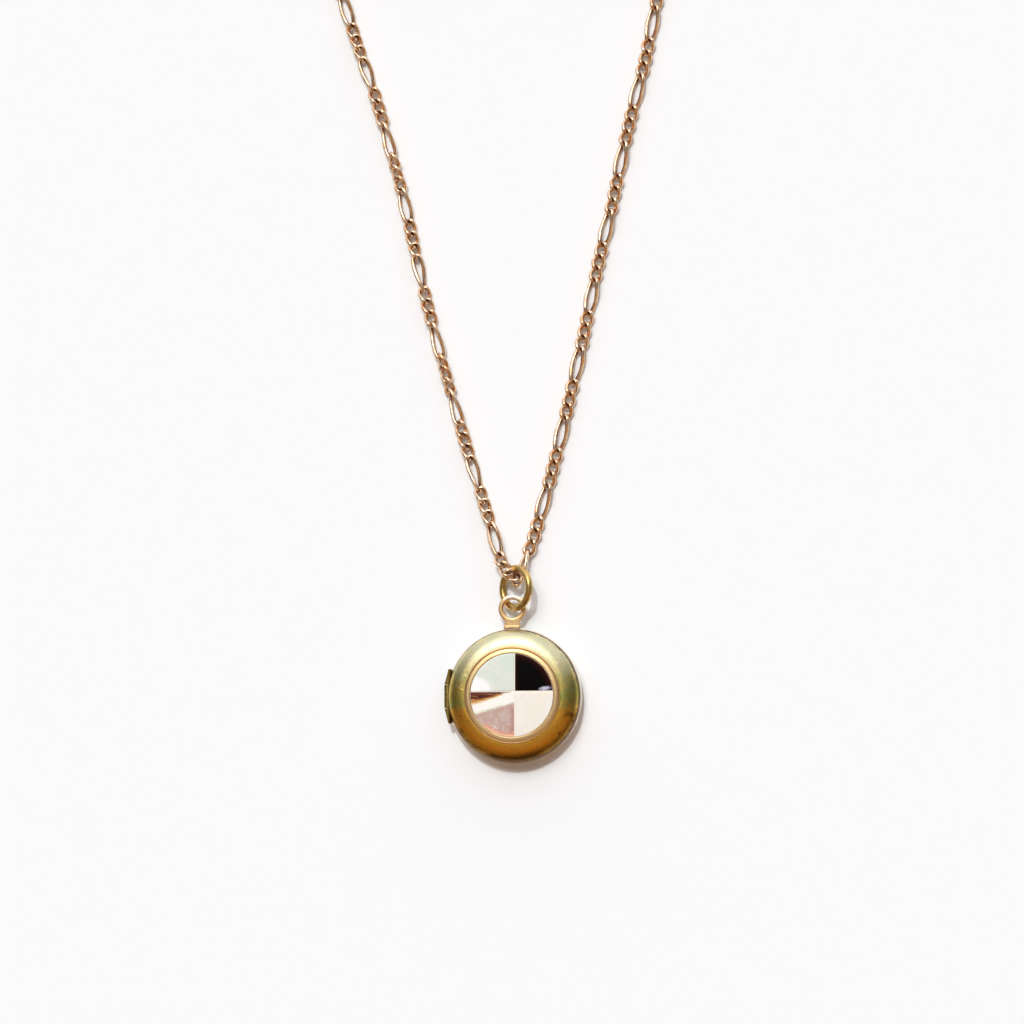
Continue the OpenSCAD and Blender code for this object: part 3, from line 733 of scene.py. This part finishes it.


# %% [markdown]
# ## Brass
# The shells are brass that has been left to age: tumbled satin, with an olive film that gathers
# in cloudy patches, a fine dark speckle, and small bright scratches where it has been rubbed. Over
# that, light is painted: the side away from the chain is deep amber, a painted reflection of a
# warm room, the side next to the chain is pale, a painted highlight, and the dome's edges carry
# painted shade. One picture of the metal could be wrapped round it, but a film made of noise in
# the metal's own millimetres has no seams. The same recipe with a thinner film gives the eye, the
# setting, the hinge and the ring, and the eye's far side gets a painted highlight. The rim is
# painted a pale, nearly white colour with little metal in it, a painted highlight for the bright
# line along its edge.

# %% Aged brass
def scratches(finish, place, amount):
    """Thin lines where a stretched noise passes through its middle value, kept to patches."""
    lines = 0
    for angle, shift in ((0.5, 0), (2.2, 7.3)):
        turned_place = finish.node("VectorRotate", {"rotation_type": "Z_AXIS"},
                                   {"Vector": place, "Angle": angle})
        long = finish.stretched(turned_place, (0.25, 2.6, 1))
        field = finish.noise(finish.node("VectorMath", {"operation": "ADD"},
                                         {0: long, 1: (shift, shift, 0)}), 1.1, 2)
        line = 1 - finish.between(abs(field - 0.5), 0.0015, 0.012)
        patch = finish.between(finish.noise(place, 0.55 + 0.1 * shift, 1), 0.52, 0.66)
        lines = line * patch + lines
    return lines * amount


def aged_brass(name, clean, film, dark, cover, speckle, rough, scratch, grain, metal=1.0,
               extra=None):
    """Brass of the colour clean under a film, with dark specks, scratches and a satin grain."""
    def paint(f):
        place = f.millimetres()
        clouds = f.noise(place, 0.42, 4, 0.55, 0.6)
        mottle = f.noise(place, 3.4, 4, 0.65)
        fine = f.noise(place, 11, 3, 0.6)
        filmed = f.between(clouds + 0.35 * (mottle - 0.5), 0.62 - 0.4 * cover, 0.9 - 0.4 * cover)
        colour = f.blend(filmed * 0.9, clean, film)
        specks = f.between(mottle * 0.6 + fine * 0.4, 0.55, 0.66) * speckle
        colour = f.blend(specks, colour, dark)
        shine = f.between(fine, 0.56, 0.7) * 0.35
        colour = f.blend(shine, colour, clean)
        lines = scratches(f, place, scratch)
        colour = f.blend(lines, colour, "fff0c4")
        roughness = rough + 0.12 * (mottle - 0.5) + 0.1 * filmed - 0.15 * lines
        height = grain * (fine - 0.5) + 0.6 * grain * (mottle - 0.5) - 0.4 * lines
        if extra:
            colour = extra(f, place, colour)
        return f.painted(colour, roughness, height, 0.012)

    return surface(name, paint, Metallic=metal)


def painted_reflection_and_shade(f, place, colour):
    """Painted reflection and shade. Under a ragged edge, the side away from the chain is painted
    deep amber, a reflection of a warm room, with darker brown blotches in it, and the side next
    to the chain is painted pale, a highlight. The step between the dome and the rim, and the
    dome's far edge, are painted brown shade."""
    x, y, z = f.parts(place)
    ragged = f.noise(place, 1.1, 4, 0.6)
    # Painted reflection: deep amber on the side away from the chain.
    lower = 1 - f.between(y + 4 * (ragged - 0.5), -2.6, -1.2)
    colour = f.blend(lower * 0.8, colour, "e8a636")
    # Painted highlight: pale on the side next to the chain.
    pale = f.between(y + 3 * (ragged - 0.5), 0.5, 6.5)
    colour = f.blend(pale * 0.65, colour, "eeeac6")
    radius = f.from_middle(x, y)
    # Painted reflection: dark brown blotches within the amber side.
    blotch = f.between(f.noise(place, 0.42, 3, 0.6), 0.53, 0.62) * lower
    blotch = blotch * f.between(radius, 7.4, 8.8)
    colour = f.blend(blotch * 0.6, colour, "5a3410")
    # Painted shade: dark brown at the step to the rim and along the dome's far edge.
    edge = radius + 0.5 * (ragged - 0.5)
    step = f.between(edge, 9.5, 9.7)
    near = f.between(edge, 8.85, 9.4) * (1 - f.between(y, -3.5, -1.5)) * 0.75
    far = f.between(edge, 8.85, 9.3) * (1 - f.between(y, -8.8, -7.6))
    painted_shade = f.larger(step, f.larger(near, far))
    return f.blend(painted_shade * 0.9 * f.between(z, 2.2, 2.4), colour, "4a2c10")


def eye_top_highlight(f, place, colour):
    """Painted highlight: the far side of the eye is lighter, where its rounded top catches the
    light.
    """
    x, y, z = f.parts(place)
    return f.blend(f.between(y, 13.9, 14.6) * 0.8, colour, "fff6e4")


antique = aged_brass("antique_brass", "d6b65c", "8e9348", "4c4422",
                     cover=0.7, speckle=0.55, rough=0.28, scratch=0.55, grain=0.9,
                     extra=painted_reflection_and_shade)
edge_brass = aged_brass("rim_brass", "eec68e", "dfb67c", "8a7040",
                        cover=0.3, speckle=0.2, rough=0.3, scratch=0.4, grain=0.5,
                        extra=eye_top_highlight)
wire_brass = aged_brass("ring_brass", "d8b570", "ab9254", "5c4a20",
                        cover=0.5, speckle=0.4, rough=0.28, scratch=0.5, grain=0.6)
hinge_brass = aged_brass("hinge_brass", "ac944e", "857a42", "54441f",
                         cover=0.5, speckle=0.3, rough=0.3, scratch=0.5, grain=0.5)
# Painted highlight: the rim gets a pale, nearly white colour with little metal in it, so it shows
# as a bright line.
pale_rim_highlight = aged_brass("pale_rim_highlight", "fbf0e0", "f4e4cc", "c8a888",
                         cover=0.3, speckle=0.1, rough=0.35, scratch=0.2, grain=0.4, metal=0.05)


def darker_groove(f, place, colour):
    """Darker colour in the groove and at the foot of the setting, found by the distance from the
    middle of the locket."""
    x, y, z = f.parts(place)
    radius = f.from_middle(x, y)
    groove_mask = f.between(radius, 6.8, 6.88) * (1 - f.between(radius, 6.96, 7.06))
    foot = f.between(radius, 7.03, 7.1) * (1 - f.between(z, 4.72, 4.9))
    colour = f.blend(groove_mask * 0.6, colour, "b87f30")
    return f.blend(foot * 0.6, colour, "b07c2c")


setting_brass = aged_brass("setting_brass", "f4d39a", "e8be7c", "9c7430",
                           cover=0.45, speckle=0.15, rough=0.3, scratch=0.4, grain=0.4,
                           extra=darker_groove)
pin_brass = aged_brass("pin_brass", "b89a5a", "8f7a44", "4a3a1c",
                       cover=0.6, speckle=0.4, rough=0.35, scratch=0.3, grain=0.5)

# %% [markdown]
# ## Rose gold plate and steel
# The chain and its clasp are brass under a thin plate of rose gold. It is bright on the backs of
# the links, and between them, where shade falls, it is painted dull and dark brown.

# %% Plated chain
def plated(f):
    place = f.millimetres()
    cloud = f.noise(place, 0.9, 3, 0.5)
    fine = f.noise(place, 14, 3, 0.6)
    colour = f.blend(f.between(cloud, 0.35, 0.7), "ffe6c4", "fac492")
    colour = f.blend(f.between(fine, 0.6, 0.75) * 0.35, colour, "a8683a")
    height = 0.5 * (fine - 0.5) + (cloud - 0.5)
    # Painted shade: dark red-brown, and rougher, on the inner sides of the links.
    dull = f.node("Attribute", {"attribute_name": "painted_shade"}, out=2)
    dull = f.between(dull + 0.5 * (fine - 0.5), 0.25, 0.6)
    colour = f.blend(dull * 0.9, colour, "742a0c")
    return f.painted(colour, 0.14 + 0.1 * cloud + 0.2 * dull, height, 0.01)


rose_gold = surface("rose_gold_plate", plated, Metallic=1.0)


def drawn_steel(f):
    place = f.stretched(f.millimetres(), (1, 1, 3))
    marks = f.noise(place, 9, 3, 0.6)
    colour = f.blend(f.between(marks, 0.4, 0.7), "b9b6ae", "8b8780")
    return f.painted(colour, 0.24 + 0.15 * marks, marks, 0.01)


steel = surface("spring_steel", drawn_steel, Metallic=1.0)

# %% [markdown]
# ## The four quarters and their cement
# Shell is built of thin sheets, and light that comes back from between them is coloured. Cut
# flat it shows clouds; cut across a bend of the shell it shows bands that fan out from one
# point. Both are painted from the place on the inlay: clouds from noise in x and y, and the fan
# from the angle and the distance about the crossing of the seams.

# %% Pearl, cream, onyx and cement
def pearl_clouds(f):
    place = f.millimetres()
    x, y, z = f.parts(place)
    swirl = f.noise(f.stretched(place, (1, 1.6, 0)), 0.45, 4, 0.55, 1.2)
    bands = f.noise(f.stretched(place, (0.5, 2.2, 0)), 1.3, 3, 0.5, 0.8)
    colour = f.blend(f.between(swirl, 0.38, 0.62), "dde6da", "e6e8de")
    colour = f.blend(f.between(bands, 0.45, 0.8) * 0.35, colour, "eee6e0")
    green = f.between(y, 2.6, 5.2) * f.between(x, -3.4, -1.2) + f.between(1 - swirl, 0.5, 0.7) * 0.3
    colour = f.blend(green * 0.55, colour, "cfe2d0")
    far_x, far_y = (x + 6.2) / 3.4, (y - 0.5) / 2.35
    patch = (far_x * far_x + far_y * far_y) ** 0.5 + 0.35 * (swirl - 0.5)
    colour = f.blend(1 - f.between(patch, 0.82, 1.12), colour, (1, 1, 1, 1))
    return f.painted(colour, 0.16 + 0.1 * bands, swirl + 0.3 * bands, 0.006)


pearl = surface("pearl", pearl_clouds, Coat_Weight=0.35, Coat_Roughness=0.08)


def cream_clouds(f):
    place = f.millimetres()
    soft = f.noise(f.stretched(place, (1, 0.7, 0)), 0.7, 4, 0.5, 0.6)
    fine = f.noise(place, 6, 3, 0.5)
    colour = f.blend(f.between(soft, 0.35, 0.65), "f8f3ea", "f5eee1")
    colour = f.blend(f.between(fine, 0.55, 0.75) * 0.3, colour, "fbf8f0")
    return f.painted(colour, 0.2 + 0.12 * soft, soft + 0.2 * fine, 0.004)


cream = surface("cream_shell", cream_clouds, Coat_Weight=0.2, Coat_Roughness=0.1)


def onyx_depth(f):
    place = f.millimetres()
    x, y, z = f.parts(place)
    radius = f.from_middle(x, y)
    soft = f.noise(place, 0.8, 3, 0.5, 0.5)
    rim_red = f.between(radius + 0.8 * (soft - 0.5), 5.1, 6.1)
    side_red = 1 - f.between(x + 0.6 * (soft - 0.5), 0.5, 1.3)
    colour = f.blend(rim_red * 0.6, "060404", "3a0f0a")
    colour = f.blend(side_red * 0.6, colour, "2a0c08")
    glint_x, glint_y = (x - 4.9) / 1.15, (y - 0.95 - 0.12 * (x - 4.9)) / 0.4
    spot = (glint_x * glint_x + glint_y * glint_y) ** 0.5
    spot = spot + 1.6 * (f.noise(f.stretched(place, (1, 3, 0)), 2.6, 3) - 0.5)
    glint = 1 - f.between(spot, 0.3, 0.95)
    colour = f.blend(glint * 0.85, colour, "cfcfe6")
    return f.painted(colour, 0.12 + 0.1 * soft, soft, 0.004)


onyx = surface("onyx", onyx_depth, Specular_IOR_Level=0.08)


def cement_grain(f):
    place = f.millimetres()
    grains = f.noise(place, 9, 4, 0.6)
    colour = f.blend(f.between(grains, 0.4, 0.65), "fbf4e6", "efe2c8")
    return f.painted(colour, 0.5 + 0.2 * grains, grains, 0.01)


cement = surface("cement", cement_grain)

# %% Iridescent shell
def shell_fan(f):
    """Bands by the angle below the level seam, in degrees, about the crossing: dark wine, then
    orange. Then a white flash whose far edge runs 1.5 mm + 0.3 of the distance from the upright
    seam below the level seam, and mauve and rose beyond it."""
    place = f.millimetres()
    x, y, z = f.parts(place)
    dx, dy = CROSSING[0] - x, CROSSING[1] - y
    angle = f.node("Math", {"operation": "ARCTAN2"}, {0: dy, 1: dx}) * math.degrees(1)
    streak = f.noise(f.stretched(place, (0.35, 2.6, 0)), 1.2, 4, 0.6, 0.7)
    cloud = f.noise(place, 0.8, 4, 0.55, 0.8)
    fine = f.noise(place, 2.6, 4, 0.6, 0.5)
    wobble = angle + 8 * (streak - 0.5) + 4 * (cloud - 0.5)
    colour = f.blend(f.between(streak, 0.42, 0.6) * 0.55, "451006", "7c3616")
    for at, width, code in ((11, 2.5, "a8602a"), (14, 2.5, "e6bc78"), (17.5, 2.5, "fffdf4")):
        colour = f.blend(f.between(wobble, at - width, at + width), colour, code)
    lines = f.between(streak, 0.54, 0.62) * (1 - f.between(angle, 12, 18)) * f.between(angle, 3, 9)
    colour = f.blend(lines * 0.5, colour, "d09a60")
    blob = 1 - f.between(dx + 1.2 * (streak - 0.5), 1.0, 2.3)
    colour = f.blend(blob * f.between(dy, 0.05, 0.35), colour, "fffdf6")
    past = dy - 1.45 - 0.3 * dx + 0.5 * (cloud - 0.5) + 0.5 * (streak - 0.5)
    mauve = f.blend(f.between(cloud, 0.4, 0.62), "c7a698", "cfb9b2")
    mauve = f.blend(f.between(fine, 0.5, 0.66) * 0.3, mauve, "dcccc6")
    mauve = f.blend(f.between(1 - fine, 0.52, 0.68) * 0.25, mauve, "c29a86")
    fringe = f.between(past, -0.2, -0.02) * f.between(dx, 0.8, 2.5)
    colour = f.blend(fringe * 0.7, colour, "dfe6c4")
    colour = f.blend(f.between(past, -0.05, 0.35), colour, mauve)
    upright = (1 - f.between(dx + 0.5 * (cloud - 0.5), 0.35, 1.0)) * f.between(dy, 1.7, 2.8)
    colour = f.blend(upright * 0.65, colour, "b57f6c")
    radius = f.from_middle(x, y)
    lip = f.between(radius + 0.5 * (cloud - 0.5), 5.3, 5.85) * f.between(angle, 40, 54)
    colour = f.blend(lip * 0.85, colour, "f29a84")
    sparks = f.between(fine, 0.56, 0.64) * f.between(radius, 4.9, 5.3) * f.between(angle, 40, 50)
    colour = f.blend(sparks * 0.45, colour, "fff2e6")
    outer_lip = f.between(radius + 0.2 * (fine - 0.5), 5.72, 5.9) * f.between(angle, 42, 56)
    colour = f.blend(outer_lip * 0.7, colour, "ffd8a8")
    return f.painted(colour, 0.14 + 0.12 * cloud, streak + cloud, 0.006)


shell = surface("iridescent_shell", shell_fan, Coat_Weight=0.4, Coat_Roughness=0.08)

# %% [markdown]
# ## Who wears what
# A piece made above and a piece that came with the measured model take a finish in the same way.
# The pieces from the model are small or hidden ones whose measured shape is already the real one.

# %% Every piece gets its finish
FINISH_OF = {
    antique: ["cover", "back_cup"],
    edge_brass: ["eye", "photo_frame_back", "photo_frame_front"], pale_rim_highlight: ["rim"],
    hinge_brass: ["upper_knuckle", "lower_knuckle", "middle_knuckle"],
    setting_brass: ["setting"], wire_brass: ["jump_ring_wire"],
    pearl: ["pearl_quarter"], onyx: ["onyx_quarter"], shell: ["shell_quarter"],
    cream: ["cream_quarter"], rose_gold: ["left_chain", "right_chain"],
}
NODE_FINISH = {
    pin_brass: ["hinge_pin"], cement: ["inlay_bed"], steel: ["clasp_spring"],
    rose_gold: ["clasp_body", "clasp_tongue", "clasp_eye", "clasp_connector_ring", "end_ring"],
}
for material, names in FINISH_OF.items():
    for name in names:
        wear(bpy.data.objects[name], material)
for material, names in NODE_FINISH.items():
    for name in names:
        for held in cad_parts[name].material_slots:
            held.material = material
unfinished = [o.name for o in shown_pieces() if not all(s.material for s in o.material_slots)]
print("pieces without a finish:", unfinished)

# %% [markdown]
# ## Table, daylight and sun
# Polished metal shows what is round it, so the light matters as much as the metal. The world is
# a soft room, painted by direction: a pale window wall beyond the top of the locket, a dull
# middle, warm wood towards the viewer that turns the near side of the dome deep amber, helped by
# the amber painted on the dome itself, and dimmer sides. One bright patch high up beyond the top
# gives the metal its soft highlight. A small sun from beyond the top gives the paper its light and
# the short shadow. It is hidden from gloss, because a lamp that small would leave one hard spark
# on every curve.

# %% Floor
floor_half, floor_z = 1.5, 0.0
floor_mesh = bpy.data.meshes.new("floor")
floor_mesh.from_pydata([(x, y, floor_z) for x, y in
                        ((-floor_half, -floor_half), (floor_half, -floor_half),
                         (floor_half, floor_half), (-floor_half, floor_half))], [],
                       [(0, 1, 2, 3)])
floor = bpy.data.objects.new("floor", floor_mesh)
bpy.context.collection.objects.link(floor)


def paper(f):
    grain = f.noise(f.millimetres(), 0.8, 3, 0.5)
    colour = f.blend(grain, (0.935, 0.955, 0.975, 1), (0.95, 0.97, 0.985, 1))
    return {"Base_Color": colour}


wear(floor, surface("paper", paper, Roughness=0.9, Specular_IOR_Level=0.1))

# %% World and sun
world = bpy.data.worlds.new("room")
bpy.context.scene.world = world
world.use_nodes = True
room = Finish(world.node_tree)
across, ahead, above = room.parts(room.node("TexCoord", out="Generated"))
glow = (0.05, 0.03, 0.03, 1)
for at, width, colour in ((-0.9, 0.1, (0.14, 0.07, 0.05)), (-0.72, 0.1, (0.58, 0.34, 0.17)),
                          (-0.4, 0.12, (0.88, 0.58, 0.34)), (-0.2, 0.08, (0.24, 0.21, 0.28)),
                          (0.06, 0.08, (0.27, 0.27, 0.28)), (0.26, 0.1, (0.7, 0.74, 0.84)),
                          (0.5, 0.15, (1.5, 1.52, 1.7)), (0.9, 0.08, (1.4, 1.4, 1.5))):
    glow = room.blend(room.between(ahead, at - width, at + width), glow, (*colour, 1))
glow = room.blend(room.between(abs(across), 0.35, 0.95) * 0.6, glow, (0.06, 0.06, 0.04, 1))
glow = room.blend(room.between(above, 0.93, 0.985) * 0.7, glow, (0.5, 0.5, 0.5, 1))
BRIGHT_AT = (-0.148, 0.448, 0.882)
hot = room.node("VectorMath", {"operation": "DOT_PRODUCT"},
                {0: room.node("TexCoord", out="Generated"), 1: BRIGHT_AT}, out=1)
glow = room.blend(room.between(hot, 0.96, 0.993), glow, (9.8, 9.7, 9.5, 1))
backdrop = room.node("Background", {}, {"Color": glow, "Strength": 0.75})
room.node("OutputWorld", {}, {"Surface": backdrop})

sun_data = bpy.data.lights.new("sun", "SUN")
sun_data.energy, sun_data.angle = 1.1, math.radians(2.5)
sun_data.color = (0.95, 1.0, 1.0)
sun = bpy.data.objects.new("sun", sun_data)
bpy.context.collection.objects.link(sun)
SUN_FROM = Vector((-0.02, 0.45, 1.0))
sun.visible_glossy = False
sun.rotation_mode = "QUATERNION"
sun.rotation_quaternion = SUN_FROM.to_track_quat("Z", "Y")
bpy.context.scene.view_settings.view_transform = "Standard"
print("room:", len(world.node_tree.nodes), "nodes; the sun stands",
      round(math.degrees(SUN_FROM.angle(Vector((0, 0, 1))))), "degrees from overhead")
